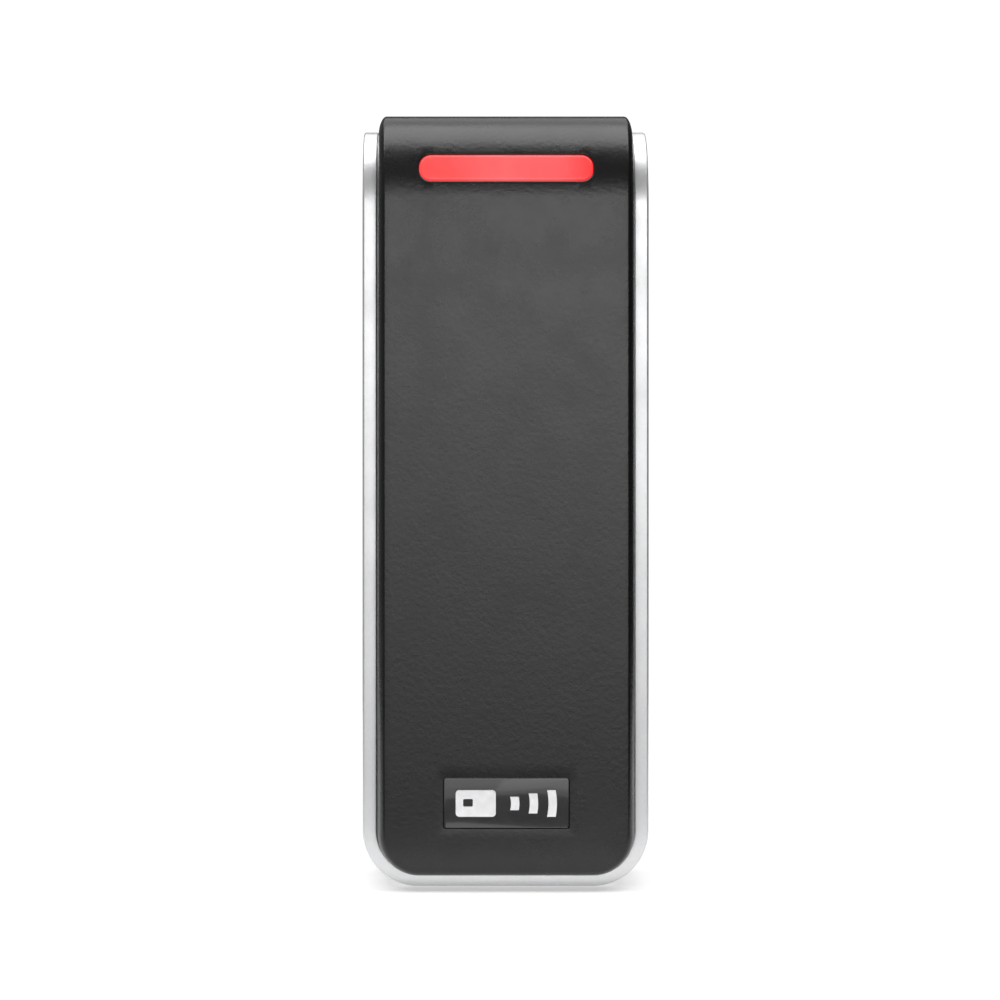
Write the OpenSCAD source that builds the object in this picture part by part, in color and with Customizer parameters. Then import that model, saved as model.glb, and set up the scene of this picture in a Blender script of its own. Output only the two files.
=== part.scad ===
// Narrow wall-mounted contactless card reader that hooks onto a wall plate.
// +Z is up, -Y faces the person with the card, and the wall is the plane y = 0.
// The origin is the centre of the wall-screw pattern on the plate's back face.
// Three bodies move: the wall plate stays, the reader swings on the plate's hooks,
// and the retaining screw runs up through the reader's bottom into the plate.

/* [Body] */
// Overall width across the silver trim
body_w = 45; // [44:0.5:48]
// Overall height
body_h = 121.5; // [120:0.5:124]
// Depth from the wall to the cover's front face
body_d = 19.5; // [19.5:0.25:21]

/* [Shells] */
// Wall thickness of the front cover and the rear housing
shell_t = 1.8; // [1.6:0.1:2]
// Height over which the cover rolls back to the top
shoulder_h = 14.5; // [13:0.5:16]
// Depth over which the cover rolls back to the top
shoulder_d = 8; // [7:0.25:8]
// Width of the cover's rolled edge, seen from the front
edge_w = 1.3; // [1:0.05:1.6]
// Depth of the cover's rolled edge
edge_d = 3.2; // [2.4:0.1:3.4]

/* [Trim] */
// Width of the silver trim at each side
trim_side = 2.25; // [1.8:0.05:2.3]
// Thickness of the silver trim under the bottom
trim_bottom = 2.05; // [1.4:0.05:2.2]
// Width of the groove between the cover and the trim
groove_w = 0.2; // [0.15:0.05:0.3]
// How far the trim's front ledge lies behind the cover's face
trim_step = 5; // [4:0.25:6]
// Radius of the trim's bottom corners
corner_r = 9; // [8:0.5:10]
// How far the trim's top lies below the cover's top
trim_drop = 1.6; // [1:0.1:2.5]

/* [Light bar and badge] */
// Length of the light bar
bar_w = 26.8; // [20:0.2:28]
// Height of the light bar
bar_h = 4; // [3:0.1:4.6]
// Height of the light bar's centre above the reader's centre
bar_z = 51.5; // [50.6:0.1:51.8]
// Length of the badge
badge_w = 19.4; // [16:0.2:22]
// Height of the badge
badge_h = 7.8; // [6:0.2:8]
// Distance of the badge's centre below the reader's centre
badge_drop = 46.9; // [45:0.1:48]

/* [Wall plate] */
// Thickness of the wall plate
plate_t = 2; // [1.8:0.1:2]
// Vertical distance between the two wall-screw slots
slot_spacing = 83.3; // [83.3:0.1:83.8]
// Vertical distance between the two round wall-screw holes
hole_spacing = 60.3; // [60:0.1:60.6]
// Radius of the holes and half the slots' width
wall_hole_r = 2.1; // [2:0.05:2.3]

/* [Circuit board] */
// Number of terminals
terminals = 8; // [6:1:8]
// Distance between terminals
terminal_pitch = 3.5; // [3.5:0.01:3.5]
// Number of status lights behind the light bar
lights = 5; // [3:1:5]

/* [Hidden] */
$fn = 48;
gap = 0.1;
half_turn = 90;

// Shell outline, as seen from the front
top_z = body_h / 2;
low_z = -body_h / 2;
front_y = -body_d;
rim_y = -0.3;
cover_half = body_w / 2 - trim_side - groove_w;
cover_low = low_z + trim_bottom + groove_w;
cover_r = corner_r - trim_side - groove_w;
shoulder_z = top_z - shoulder_h;
shoulder_y = front_y + shoulder_d;
trim_y = front_y + trim_step;
seal_front_y = shoulder_y + 0.3;
seal_t = 0.4;
housing_y = seal_front_y + seal_t;
inner_half = cover_half - shell_t;
inner_low = cover_low + shell_t;
inner_top = top_z - shell_t;
inner_r = cover_r - shell_t;
edge_steps = 6;
shoulder_steps = 14;
corner_steps = 12;
trim_edge = 0.35;

// The reader swings on a round bar near its top, and stops at the angle of the back's relief
pivot_y = -4.2;
pivot_z = 55;
bar_r = 1.3;
hook_clear = 0.1;
hook_t = 1.5;
hook_w = 7;
hook_x = 9;
relief_angle = 20;
relief_z = 56.5;

// Recesses in the reader's back, each a cup of the rear housing
cup_t = 1.2;
cup_back_y = -4;
recess_half = 15;
recess_low = 50.5;
recess_floor_y = -9;
well_half = 15;
well_low = -26;
well_high = 6;
well_floor_y = -8.8;
pocket_half = 7.5;
pocket_high = -46.4;
pocket_floor_y = -9.8;
floor_t = 0.9;
potting_back_y = -4.4;
potting_t = 2.8;
tie_back_y = potting_back_y - potting_t - 0.2;

// Retaining screw: M3, backed off by its travel when at rest
screw_y = -6.2;
screw_r = 1.5;
screw_len = 6;
head_r = 2.85;
head_h = 1.65;
head_low = low_z + 0.5;
screw_travel = 3;
head_bore_r = 3.05;
shank_bore_r = 1.65;
guide_r = 3.85;
guide_top = head_low + head_h + screw_len - 0.1;
boss_low = guide_top + 0.4;
boss_h = 5;
boss_half = 4.2;
boss_y = -9.2;
insert_r = 2.1;
insert_len = 4.5;
insert_bore_r = 1.55;

// Wall plate
plate_half = inner_half - 0.3;
plate_low = inner_low + 0.3;
plate_high = 57.2;
plate_r = inner_r;
opening_half = 14.2;
opening_low = -25.2;
opening_high = 5.2;
slot_len = 8;
sink_depth = 0.8;

// Circuit board and what stands on it
pcb_front_y = housing_y - 1.6;
pcb_t = 1.2;
pcb_back_y = pcb_front_y + pcb_t;
pcb_half = 17.6;
pcb_low = -56;
pcb_high = 56.4;
boss_x = 13;
boss_zs = [-50, 45];
pcb_boss_r = 2.3;
pcb_pilot_r = 0.85;
term_half = terminals * terminal_pitch / 2 + 0.2;
term_low = -14;
term_high = -5.5;
term_back_y = -3.7;
coil_half = 14.3;
coil_high = 37;
coil_low = -39;
coil_w = 2.4;
coil_front_y = front_y + shell_t + 0.8;
former_y = pcb_front_y - 0.3;
sensor_z = 45;
sensor_r = 1.9;

// ---------------------------------------------------------------- shared shapes

// Points of a quarter turn round a corner, from angle a0, in steps
function arc_points(cx, cz, rx, rz, a0, steps = corner_steps) = [
    for (i = [0 : steps])
        let (a = a0 + half_turn * i / steps)
        [cx + rx * cos(a), cz + rz * sin(a)]
];

// Closed outline with round bottom corners and oval top corners, as seen from the front
function front_outline(half, low, high, r, top_rx, top_rz) = concat(
    arc_points(half - r, low + r, r, r, -half_turn),
    arc_points(half - top_rx, high - top_rz, top_rx, top_rz, 0),
    arc_points(-half + top_rx, high - top_rz, top_rx, top_rz, half_turn),
    arc_points(-half + r, low + r, r, r, 2 * half_turn)
);

// Extrudes a shape drawn as seen from the front, from y0 back to y1
module from_front(y0, y1) {
    translate([0, y1, 0])
        rotate([half_turn, 0, 0])
            linear_extrude(y1 - y0)
                children();
}

// A box from its two corners
module box(low, high) {
    translate(low)
        cube(high - low);
}

// A box with vertical mirror symmetry about x = 0
module centred_box(half, y0, y1, z0, z1) {
    box([-half, y0, z0], [half, y1, z1]);
}

// A cylinder along Y
module rod_y(r, y0, y1, x = 0, z = 0) {
    translate([x, y1, z])
        rotate([half_turn, 0, 0])
            cylinder(r = r, h = y1 - y0);
}

// A rectangle with round corners, drawn as seen from the front
module soft_rectangle(half_x, half_z, r) {
    polygon(front_outline(half_x, -half_z, half_z, r, r, r));
}

// A ring between two such rectangles
module soft_ring(half_x, half_z, r, wall) {
    difference() {
        soft_rectangle(half_x, half_z, r);
        soft_rectangle(half_x - wall, half_z - wall, max(r - wall, 0.2));
    }
}

// Extrudes a shape drawn as seen from the side (Y across, Z up) by half to each side
module from_side(half) {
    translate([-half, 0, 0])
        rotate([half_turn, 0, half_turn])
            linear_extrude(2 * half)
                children();
}

// A convex shell body: a flat front that rolls back over the top on an oval, with a rolled edge all round
module bent_body(half, low, r, face_y, oval_z, depth_axis, height_axis, roll_w, roll_d, back_y) {
    hull()
        for (i = [0 : edge_steps])
            let (
                a = half_turn * i / edge_steps,
                inset = roll_w * (1 - sin(a)),
                depth = roll_d * (1 - cos(a)),
                flat_half = half - inset
            ) {
                from_front(face_y + depth, back_y)
                    polygon(concat(
                        arc_points(half - r, low + r, r - inset, r - inset, -half_turn),
                        [[flat_half, oval_z], [-flat_half, oval_z]],
                        arc_points(r - half, low + r, r - inset, r - inset, 2 * half_turn)
                    ));
                from_side(flat_half)
                    polygon(concat(
                        arc_points(face_y + depth_axis, oval_z, depth_axis - depth, height_axis - depth,
                                   half_turn, shoulder_steps),
                        [[back_y, oval_z], [back_y, oval_z + height_axis - depth]]
                    ));
            }
}

// The cover's outside when inset is 0, and its cavity when inset is the wall
module cover_body(inset, back_y) {
    bent_body(
        half = cover_half - inset,
        low = cover_low + inset,
        r = cover_r - inset,
        face_y = front_y + inset,
        oval_z = shoulder_z,
        depth_axis = shoulder_d - inset,
        height_axis = shoulder_h - inset,
        roll_w = inset == 0 ? edge_w : 1,
        roll_d = inset == 0 ? edge_d : 1.6,
        back_y = back_y
    );
}

// A slanting cut across the top of the back, which lets the top tip towards the wall
module swing_relief() {
    translate([-body_w, rim_y, relief_z])
        rotate([relief_angle, 0, 0])
            cube([2 * body_w, 10, 20]);
}

// A slot that runs up and down the wall plate
module upright_slot(r, length, y0, y1, z) {
    centred_box(r, y0, y1, z - length / 2 + r, z + length / 2 - r);
    for (end = [-1, 1])
        rod_y(r, y0, y1, 0, z + end * (length / 2 - r));
}

// ---------------------------------------------------------------- wall plate

// One hook: a half ring under the reader's bar, with a lip that rises in front of it
module plate_hook(x) {
    outer = bar_r + hook_clear + hook_t;
    inner = bar_r + hook_clear;
    translate([x - hook_w / 2, 0, 0])
        difference() {
            union() {
                intersection() {
                    translate([0, pivot_y, pivot_z])
                        rotate([0, half_turn, 0])
                            cylinder(r = outer, h = hook_w);
                    box([0, pivot_y - outer, pivot_z - outer], [hook_w, pivot_y + outer, pivot_z]);
                }
                box([0, pivot_y - outer, pivot_z - 0.2], [hook_w, pivot_y - inner, pivot_z + 1.2]);
                box([0, pivot_y, pivot_z - outer], [hook_w, -plate_t + 0.5, pivot_z]);
            }
            translate([-1, pivot_y, pivot_z])
                rotate([0, half_turn, 0])
                    cylinder(r = inner, h = hook_w + 2);
            box([-1, pivot_y, pivot_z - 0.1], [hook_w + 1, pivot_y + inner, pivot_z + 1]);
        }
}

module mounting_plate() {
    rib_t = 1;
    rib_y = -plate_t - 1;
    color("#1c1c1e")
        difference() {
            union() {
                from_front(-plate_t, 0)
                    polygon(front_outline(plate_half, plate_low, plate_high, plate_r, 2, 2));
                translate([0, 0, (opening_low + opening_high) / 2])
                    from_front(rib_y, -plate_t + 0.2)
                        soft_ring(opening_half + rib_t, (opening_high - opening_low) / 2 + rib_t, 2, rib_t);
                for (side = [-1, 1])
                    box([side * (plate_half - 1.4) - rib_t / 2, rib_y, 10],
                        [side * (plate_half - 1.4) + rib_t / 2, -plate_t + 0.2, 48]);
                for (side = [-1, 1])
                    plate_hook(side * hook_x);
                centred_box(boss_half, boss_y, -plate_t + 0.2, boss_low, boss_low + boss_h);
            }
            centred_box(opening_half, rib_y - 1, 1, opening_low, opening_high);
            for (side = [-1, 1]) {
                upright_slot(wall_hole_r, slot_len, -plate_t - 1, 1, side * slot_spacing / 2);
                upright_slot(3.8, slot_len + 2.6, -plate_t - 1, -plate_t + sink_depth,
                             side * slot_spacing / 2);
                rod_y(wall_hole_r, -plate_t - 1, 1, 0, side * hole_spacing / 2);
                rod_y(3.8, -plate_t - 1, -plate_t + sink_depth, 0, side * hole_spacing / 2);
            }
            translate([0, screw_y, boss_low - 1])
                cylinder(r = insert_r + 0.02, h = insert_len + 1);
        }
}

module threaded_insert() {
    color("#c9a24b")
        translate([0, screw_y, boss_low])
            difference() {
                cylinder(r = insert_r, h = insert_len);
                translate([0, 0, -1])
                    cylinder(r = insert_bore_r, h = insert_len + 2);
                for (z = [1.2, 3])
                    translate([0, 0, z])
                        difference() {
                            cylinder(r = insert_r + 1, h = 0.5);
                            cylinder(r = insert_r - 0.2, h = 0.5);
                        }
            }
}

// ---------------------------------------------------------------- shells

// A cup set into the reader's back, open towards the wall
module cup(half, floor_y, low, high) {
    difference() {
        centred_box(half + cup_t, floor_y - floor_t, cup_back_y, low - cup_t, high + cup_t);
        centred_box(half, floor_y, cup_back_y + 1, low, high);
    }
}

module rear_housing() {
    side_low = cover_low + 0.5;
    color("#1a1a1c")
        difference() {
            union() {
                difference() {
                    from_front(housing_y, rim_y)
                        polygon(front_outline(cover_half, cover_low, top_z, cover_r, edge_w, edge_d));
                    from_front(housing_y - 1, rim_y + 1)
                        polygon(front_outline(inner_half, inner_low, inner_top, inner_r, 1, 1));
                }
                cup(recess_half, recess_floor_y, recess_low, inner_top);
                cup(well_half, well_floor_y, well_low, well_high);
                cup(pocket_half, pocket_floor_y, inner_low, pocket_high);
                for (z = [well_low - cup_t, well_high])
                    centred_box(inner_half + 0.5, well_floor_y - floor_t, tie_back_y, z, z + cup_t);
                translate([-recess_half - 0.6, pivot_y, pivot_z])
                    rotate([0, half_turn, 0])
                        cylinder(r = bar_r, h = 2 * recess_half + 1.2);
                translate([0, screw_y, side_low])
                    cylinder(r = guide_r, h = guide_top - side_low);
            }
            centred_box(term_half + 0.3, well_floor_y - 2, well_floor_y + 1, term_low - 0.3, term_high + 0.3);
            translate([0, screw_y, low_z - 1])
                cylinder(r = head_bore_r, h = head_low + head_h + screw_travel - low_z + 1);
            translate([0, screw_y, low_z])
                cylinder(r = shank_bore_r, h = guide_top - low_z + 1);
            swing_relief();
        }
}

// The trim's inside, which follows the cover's outline at a distance
module trim_opening(clear, y0, y1) {
    from_front(y0, y1)
        polygon(front_outline(cover_half + clear, cover_low - clear, top_z + 1, cover_r + clear, 1, 1));
}

module side_trim() {
    color("#d4d6d8")
        difference() {
            bent_body(
                half = body_w / 2,
                low = low_z,
                r = corner_r,
                face_y = trim_y,
                oval_z = shoulder_z,
                depth_axis = shoulder_d,
                height_axis = shoulder_h - trim_drop,
                roll_w = trim_edge,
                roll_d = trim_edge,
                back_y = rim_y
            );
            trim_opening(groove_w, trim_y - 1, seal_front_y - 0.2);
            trim_opening(gap, trim_y, 1);
            translate([0, screw_y, low_z - 1])
                cylinder(r = head_bore_r, h = 4);
            swing_relief();
        }
}

// The light bar's opening, wider by grow on every side
module bar_prism(grow, y0, y1) {
    translate([0, 0, bar_z])
        from_front(y0, y1)
            soft_rectangle(bar_w / 2 + grow, bar_h / 2 + grow, 0.44 * bar_h + grow);
}

module badge_prism(grow, y0, y1) {
    translate([0, 0, -badge_drop])
        from_front(y0, y1)
            soft_rectangle(badge_w / 2 + grow, badge_h / 2 + grow, 0.4);
}

module front_cover() {
    color("#232325")
        union() {
            difference() {
                cover_body(0, seal_front_y);
                cover_body(shell_t, seal_front_y + 1);
                bar_prism(0.1, front_y - 1, seal_front_y - 2);
                badge_prism(0.1, front_y - 1, front_y + 1);
            }
            for (side = [-1, 1], z = boss_zs)
                difference() {
                    rod_y(pcb_boss_r, front_y + shell_t - 0.2, pcb_front_y, side * boss_x, z);
                    rod_y(pcb_pilot_r, front_y + shell_t + 0.6, pcb_front_y + 1, side * boss_x, z);
                }
        }
}

module cover_seal() {
    color("#3a3a3c")
        from_front(seal_front_y, housing_y)
            difference() {
                polygon(front_outline(cover_half - 0.5, cover_low + 0.5, top_z - 0.5, cover_r - 0.5,
                                      edge_w, edge_d));
                polygon(front_outline(cover_half - 1.4, cover_low + 1.4, top_z - 1.4, cover_r - 1.4,
                                      edge_w, edge_d));
            }
}

module potting() {
    clear = 0.05;
    side = cup_t + clear;
    color("#101012")
        from_front(potting_back_y - potting_t, potting_back_y)
            difference() {
                polygon(front_outline(inner_half - clear, inner_low + clear, inner_top - clear,
                                      inner_r, 1, 1));
                for (cut = [
                    [recess_half, recess_low, body_h],
                    [well_half, well_low, well_high],
                    [pocket_half, -body_h, pocket_high]
                ])
                    translate([-cut[0] - side, cut[1] - side])
                        square([2 * (cut[0] + side), cut[2] - cut[1] + 2 * side]);
                translate([0, sensor_z])
                    circle(r = sensor_r + clear);
            }
}

// ---------------------------------------------------------------- light bar and badge

module light_bar_lens() {
    flange_y = front_y + 3.3;
    color("#f04a4a")
        union() {
            intersection() {
                translate([0, 0.08, -0.02])
                    cover_body(0, seal_front_y);
                bar_prism(0, front_y - 1, flange_y + 0.2);
            }
            translate([0, 0, bar_z])
                from_front(flange_y, flange_y + 0.9)
                    soft_rectangle(bar_w / 2 + 1.2, bar_h / 2 + 0.8, 1.2);
        }
}

module light_guide() {
    color("#e8f2f4")
        union() {
            centred_box(13, front_y + 4.3, pcb_front_y - 1.5, bar_z - 2.1, bar_z + 2.1);
            for (i = [0 : lights - 1])
                rod_y(1.3, front_y + 5, pcb_front_y - 1.15, (i - (lights - 1) / 2) * 5.2, bar_z);
        }
}

module light_shroud() {
    color("#f2f2f0")
        translate([0, 0, bar_z])
            from_front(front_y + 4.3, pcb_front_y)
                soft_ring(14.3, 3.2, 0.8, 1);
}

module badge_plate() {
    color("#3a3b3e")
        badge_prism(0, front_y + 0.35, front_y + 1);
}

// A plain pictogram: a card beside three waves that grow away from it
module badge_emblem() {
    card_half = 3.1;
    card_x = -4.75;
    height = 4.1;
    stroke = 1.3;
    wave_x = -3.2;
    wave_r = 3.9;
    wave_pitch = 2.9;
    color("#e4e4e6")
        translate([0, 0, -badge_drop])
            from_front(front_y, front_y + 0.35)
                union() {
                    translate([card_x, 0])
                        difference() {
                            soft_rectangle(card_half, height / 2, 0.55);
                            translate([-1.2, 0.1])
                                soft_rectangle(0.75, 0.6, 0.2);
                        }
                    for (i = [0 : 2])
                        let (r = wave_r + wave_pitch * i, reach = height * (0.25 + 0.125 * i))
                        intersection() {
                            translate([wave_x, 0])
                                difference() {
                                    circle(r = r + stroke);
                                    circle(r = r);
                                }
                            translate([0, -reach])
                                square([body_w, 2 * reach]);
                        }
                }
}

// ---------------------------------------------------------------- circuit board

module main_pcb() {
    color("#1f5a35")
        difference() {
            from_front(pcb_front_y, pcb_back_y)
                polygon(front_outline(pcb_half, pcb_low, pcb_high, 4.5, 2, 2));
            for (side = [-1, 1], z = boss_zs)
                rod_y(1.2, pcb_front_y - 1, pcb_back_y + 1, side * boss_x, z);
        }
}

module status_leds() {
    color("#f4f4ee")
        for (i = [0 : lights - 1])
            translate([(i - (lights - 1) / 2) * 5.2, pcb_front_y - 1, bar_z])
                difference() {
                    translate([-1.6, 0, -1.4])
                        cube([3.2, 1, 2.8]);
                    rod_y(1.1, -1, 0.3);
                }
}

module hf_antenna_loops() {
    turn_pitch = 0.9;
    color("#b87333")
        from_front(pcb_front_y - 0.1, pcb_front_y)
            for (i = [0 : 2])
                soft_ring(17.1 - i * turn_pitch, 40.4 - i * turn_pitch, 2.4, 0.5);
}

module lf_antenna_coil() {
    color("#a85a2a")
        translate([0, 0, (coil_high + coil_low) / 2])
            from_front(coil_front_y, former_y - 0.8)
                soft_ring(coil_half, (coil_high - coil_low) / 2, 5, coil_w);
}

module coil_former() {
    core_half = coil_half - coil_w - 0.1;
    core_half_z = (coil_high - coil_low) / 2 - coil_w - 0.1;
    color("#d9d4c4")
        translate([0, 0, (coil_high + coil_low) / 2])
            union() {
                from_front(coil_front_y, former_y)
                    soft_ring(core_half, core_half_z, 2.5, 1);
                from_front(former_y - 0.75, former_y)
                    soft_ring(coil_half + 0.3, (coil_high - coil_low) / 2 + 0.3, 5.3, 4);
            }
}

module ferrite_sheet() {
    color("#3c3c40")
        translate([0, 0, (coil_high + coil_low) / 2])
            from_front(pcb_front_y - 0.25, pcb_front_y)
                soft_rectangle(14, 36, 1);
}

// A part on the back of the board: [x, z, width, height, thickness]
module back_parts(list) {
    for (p = list)
        translate([p[0] - p[2] / 2, pcb_back_y, p[1] - p[3] / 2])
            cube([p[2], p[4], p[3]]);
}

module controller_chips() {
    color("#222224")
        back_parts([
            [-8, 26, 10, 10, 1.2],
            [6, 30, 6, 6, 0.9],
            [6, 20, 5, 5, 0.9],
            [13.5, 30, 4, 5, 1.2],
            [-8, 14, 5, 4, 1.4],
            [3, 12, 4, 5, 1.4]
        ]);
}

module rf_shield_can() {
    color("#b9bcc0")
        translate([-9, pcb_back_y, 38.3])
            difference() {
                translate([-6.5, 0, -4.4])
                    cube([13, 2.2, 8.8]);
                translate([-6.3, -1, -4.2])
                    cube([12.6, 3, 8.4]);
                for (x = [-4 : 2.6 : 4], z = [-2.6 : 2.6 : 2.6])
                    rod_y(0.5, 1, 3, x, z);
            }
}

module chip_capacitors() {
    color("#b59a6a")
        back_parts([
            for (i = [0 : 7], row = [0, 1])
                [-14.6 + i * 1.9, 32.3 - row * 13.3, 0.8, 1.6, 0.8]
        ]);
}

module chip_resistors() {
    color("#1b1b1d")
        back_parts([
            for (i = [0 : 5], row = [0 : 2])
                [11.4 + row * 1.9, 12 + i * 2.2, 0.8, 1.6, 0.5]
        ]);
}

module tantalum_capacitors() {
    color("#c9832b")
        back_parts([for (side = [-1, 1]) [side * 12, -36, 4.3, 7.3, 2.8]]);
}

module power_inductor() {
    color("#4a4a4e")
        translate([0, pcb_back_y, -36])
            difference() {
                translate([-3.2, 0, -3.2])
                    cube([6.4, 2.8, 6.4]);
                translate([0, 4, 0])
                    difference() {
                        rod_y(2.4, -1.5, 0);
                        rod_y(1.5, -1.6, 1);
                    }
            }
}

module crystal() {
    color("#c4c6ca")
        back_parts([[-14.5, 12, 3.2, 5, 1.1]]);
}

module sounder() {
    color("#161618")
        translate([6.5, 0, 39.5])
            difference() {
                rod_y(4.6, pcb_back_y, pcb_back_y + 3);
                rod_y(0.9, pcb_back_y + 2, pcb_back_y + 4);
            }
}

module tamper_sensor() {
    color("#26262a")
        translate([0, pcb_back_y, sensor_z])
            difference() {
                translate([-2, 0, -1.5])
                    cube([4, 1.5, 3]);
                for (x = [-0.9, 0.9])
                    rod_y(0.6, 1.1, 2, x, 0);
            }
}

module tamper_window() {
    color("#2c1218")
        union() {
            rod_y(sensor_r, pcb_back_y + 1.7, potting_back_y, 0, sensor_z);
            rod_y(sensor_r + 0.6, pcb_back_y + 1.7, pcb_back_y + 2.5, 0, sensor_z);
        }
}

// ---------------------------------------------------------------- terminals

function terminal_x(i) = (i - (terminals - 1) / 2) * terminal_pitch;

module terminal_block() {
    screw_z = (term_low + term_high) / 2 + 0.8;
    color("#2e7d4f")
        difference() {
            centred_box(term_half, pcb_back_y, term_back_y, term_low, term_high);
            for (i = [0 : terminals - 1]) {
                rod_y(1.4, term_back_y - 2.4, term_back_y + 1, terminal_x(i), screw_z);
                box([terminal_x(i) - 1.25, term_back_y - 5.4, term_low - 1],
                    [terminal_x(i) + 1.25, term_back_y - 2.6, term_low + 5.5]);
            }
            for (i = [1 : terminals - 1])
                box([terminal_x(i) - terminal_pitch / 2 - 0.15, term_back_y - 0.6, term_low - 1],
                    [terminal_x(i) - terminal_pitch / 2 + 0.15, term_back_y + 1, term_high + 1]);
        }
}

module terminal_screws() {
    screw_z = (term_low + term_high) / 2 + 0.8;
    color("#c8c9cc")
        for (i = [0 : terminals - 1])
            difference() {
                rod_y(1.3, term_back_y - 2.4, term_back_y - 0.9, terminal_x(i), screw_z);
                translate([terminal_x(i), term_back_y - 1, screw_z])
                    rotate([0, 20 * (i % 3 - 1), 0])
                        cube([3, 0.9, 0.45], center = true);
            }
}

module terminal_clamps() {
    color("#b9bcc0")
        for (i = [0 : terminals - 1])
            translate([terminal_x(i), 0, 0])
                difference() {
                    box([-1.2, term_back_y - 5.35, term_low + 1], [1.2, term_back_y - 2.65, term_low + 5.4]);
                    box([-0.85, term_back_y - 5, term_low], [0.85, term_back_y - 3, term_low + 6]);
                }
}

// ---------------------------------------------------------------- screws

module pcb_screws() {
    color("#8f9296")
        for (side = [-1, 1], z = boss_zs)
            translate([side * boss_x, pcb_back_y, z])
                difference() {
                    union() {
                        rod_y(1.9, 0, 1.3);
                        rod_y(0.8, -pcb_t - 3.2, 0.2);
                    }
                    for (turn = [0, half_turn])
                        translate([0, 1.3, 0])
                            rotate([0, turn, 0])
                                cube([2, 1.4, 0.45], center = true);
                }
}

module retaining_screw() {
    pin_points = 6;
    color("#2b2b2e")
        translate([0, screw_y, head_low])
            difference() {
                union() {
                    cylinder(r = head_r, h = head_h);
                    cylinder(r = screw_r, h = head_h + screw_len);
                }
                difference() {
                    union() {
                        translate([0, 0, -1])
                            cylinder(r = 1.1, h = 2.1);
                        for (i = [0 : pin_points - 1])
                            rotate([0, 0, i * 4 * half_turn / pin_points])
                                translate([1.15, 0, -1])
                                    cylinder(r = 0.3, h = 2.1, $fn = 24);
                    }
                    cylinder(r = 0.45, h = 3);
                }
            }
}

// ---------------------------------------------------------------- assembly

mounting_plate();
threaded_insert();
rear_housing();
side_trim();
front_cover();
cover_seal();
potting();
light_bar_lens();
light_guide();
light_shroud();
badge_plate();
badge_emblem();
main_pcb();
status_leds();
hf_antenna_loops();
lf_antenna_coil();
coil_former();
ferrite_sheet();
controller_chips();
rf_shield_can();
chip_capacitors();
chip_resistors();
tantalum_capacitors();
power_inductor();
crystal();
sounder();
tamper_sensor();
tamper_window();
terminal_block();
terminal_screws();
terminal_clamps();
pcb_screws();
retaining_screw();
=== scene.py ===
"""Looks of a narrow wall-mounted contactless card reader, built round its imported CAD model."""

import math

import bmesh
import bpy
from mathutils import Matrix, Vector, geometry


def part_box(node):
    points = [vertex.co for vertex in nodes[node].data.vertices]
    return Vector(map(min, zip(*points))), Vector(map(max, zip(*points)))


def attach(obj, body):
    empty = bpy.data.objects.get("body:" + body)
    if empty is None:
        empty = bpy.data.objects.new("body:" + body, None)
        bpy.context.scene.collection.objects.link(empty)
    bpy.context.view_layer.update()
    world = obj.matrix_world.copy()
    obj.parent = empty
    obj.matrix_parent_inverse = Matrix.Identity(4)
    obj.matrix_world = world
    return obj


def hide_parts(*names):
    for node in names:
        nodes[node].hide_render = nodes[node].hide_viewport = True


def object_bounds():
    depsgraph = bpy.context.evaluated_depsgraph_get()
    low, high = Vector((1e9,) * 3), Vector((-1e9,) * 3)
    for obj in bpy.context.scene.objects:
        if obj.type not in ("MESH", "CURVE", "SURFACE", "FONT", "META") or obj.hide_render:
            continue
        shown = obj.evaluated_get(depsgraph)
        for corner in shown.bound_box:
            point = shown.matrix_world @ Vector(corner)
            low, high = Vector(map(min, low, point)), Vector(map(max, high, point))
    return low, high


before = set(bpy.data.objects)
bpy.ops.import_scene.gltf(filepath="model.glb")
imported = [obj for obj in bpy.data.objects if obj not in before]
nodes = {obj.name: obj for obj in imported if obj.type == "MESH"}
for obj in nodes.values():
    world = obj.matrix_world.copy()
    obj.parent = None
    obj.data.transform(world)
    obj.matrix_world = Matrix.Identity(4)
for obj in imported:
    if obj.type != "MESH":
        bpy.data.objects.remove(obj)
cad_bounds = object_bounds()

MM = 0.001
RIGHT_ANGLE = math.pi / 2

# ---------------------------------------------------------------- sizes taken from the frame

cover_low_corner, cover_high_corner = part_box("front_cover")
trim_low_corner, trim_high_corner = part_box("side_trim")
lens_high_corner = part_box("light_bar_lens")[1]
badge_low_corner, badge_high_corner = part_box("badge_plate")
screw_low_corner, screw_high_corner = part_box("retaining_screw")

FLOOR_Z = cad_bounds[0].z
FRONT_Y = cover_low_corner.y
TOP_Z = cover_high_corner.z
COVER_HALF = cover_high_corner.x
COVER_LOW = cover_low_corner.z
COVER_BACK = cover_high_corner.y

# Curves of the cover, which the frame's boxes don't give
SHELL_T = 1.8 * MM
COVER_CORNER = 6.55 * MM
SHOULDER_H = 14.5 * MM
SHOULDER_D = 8 * MM
ROLL_W = 1.3 * MM
ROLL_D = 3.2 * MM
INNER_ROLL_W = 1 * MM
INNER_ROLL_D = 1.6 * MM

# The trim, the groove between it and the cover, and the relief at the back of its top
TRIM_CORNER = 9 * MM
TRIM_ROLL = 0.35 * MM
TRIM_GAP = 0.1 * MM
TRIM_LIP = 0.2 * MM
TRIM_DROP = 1.6 * MM
GROOVE_W = 0.2 * MM
GROOVE_BACK = -11.4 * MM
RELIEF_ANGLE = math.radians(20)
RELIEF_Z = 56.5 * MM

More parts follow.
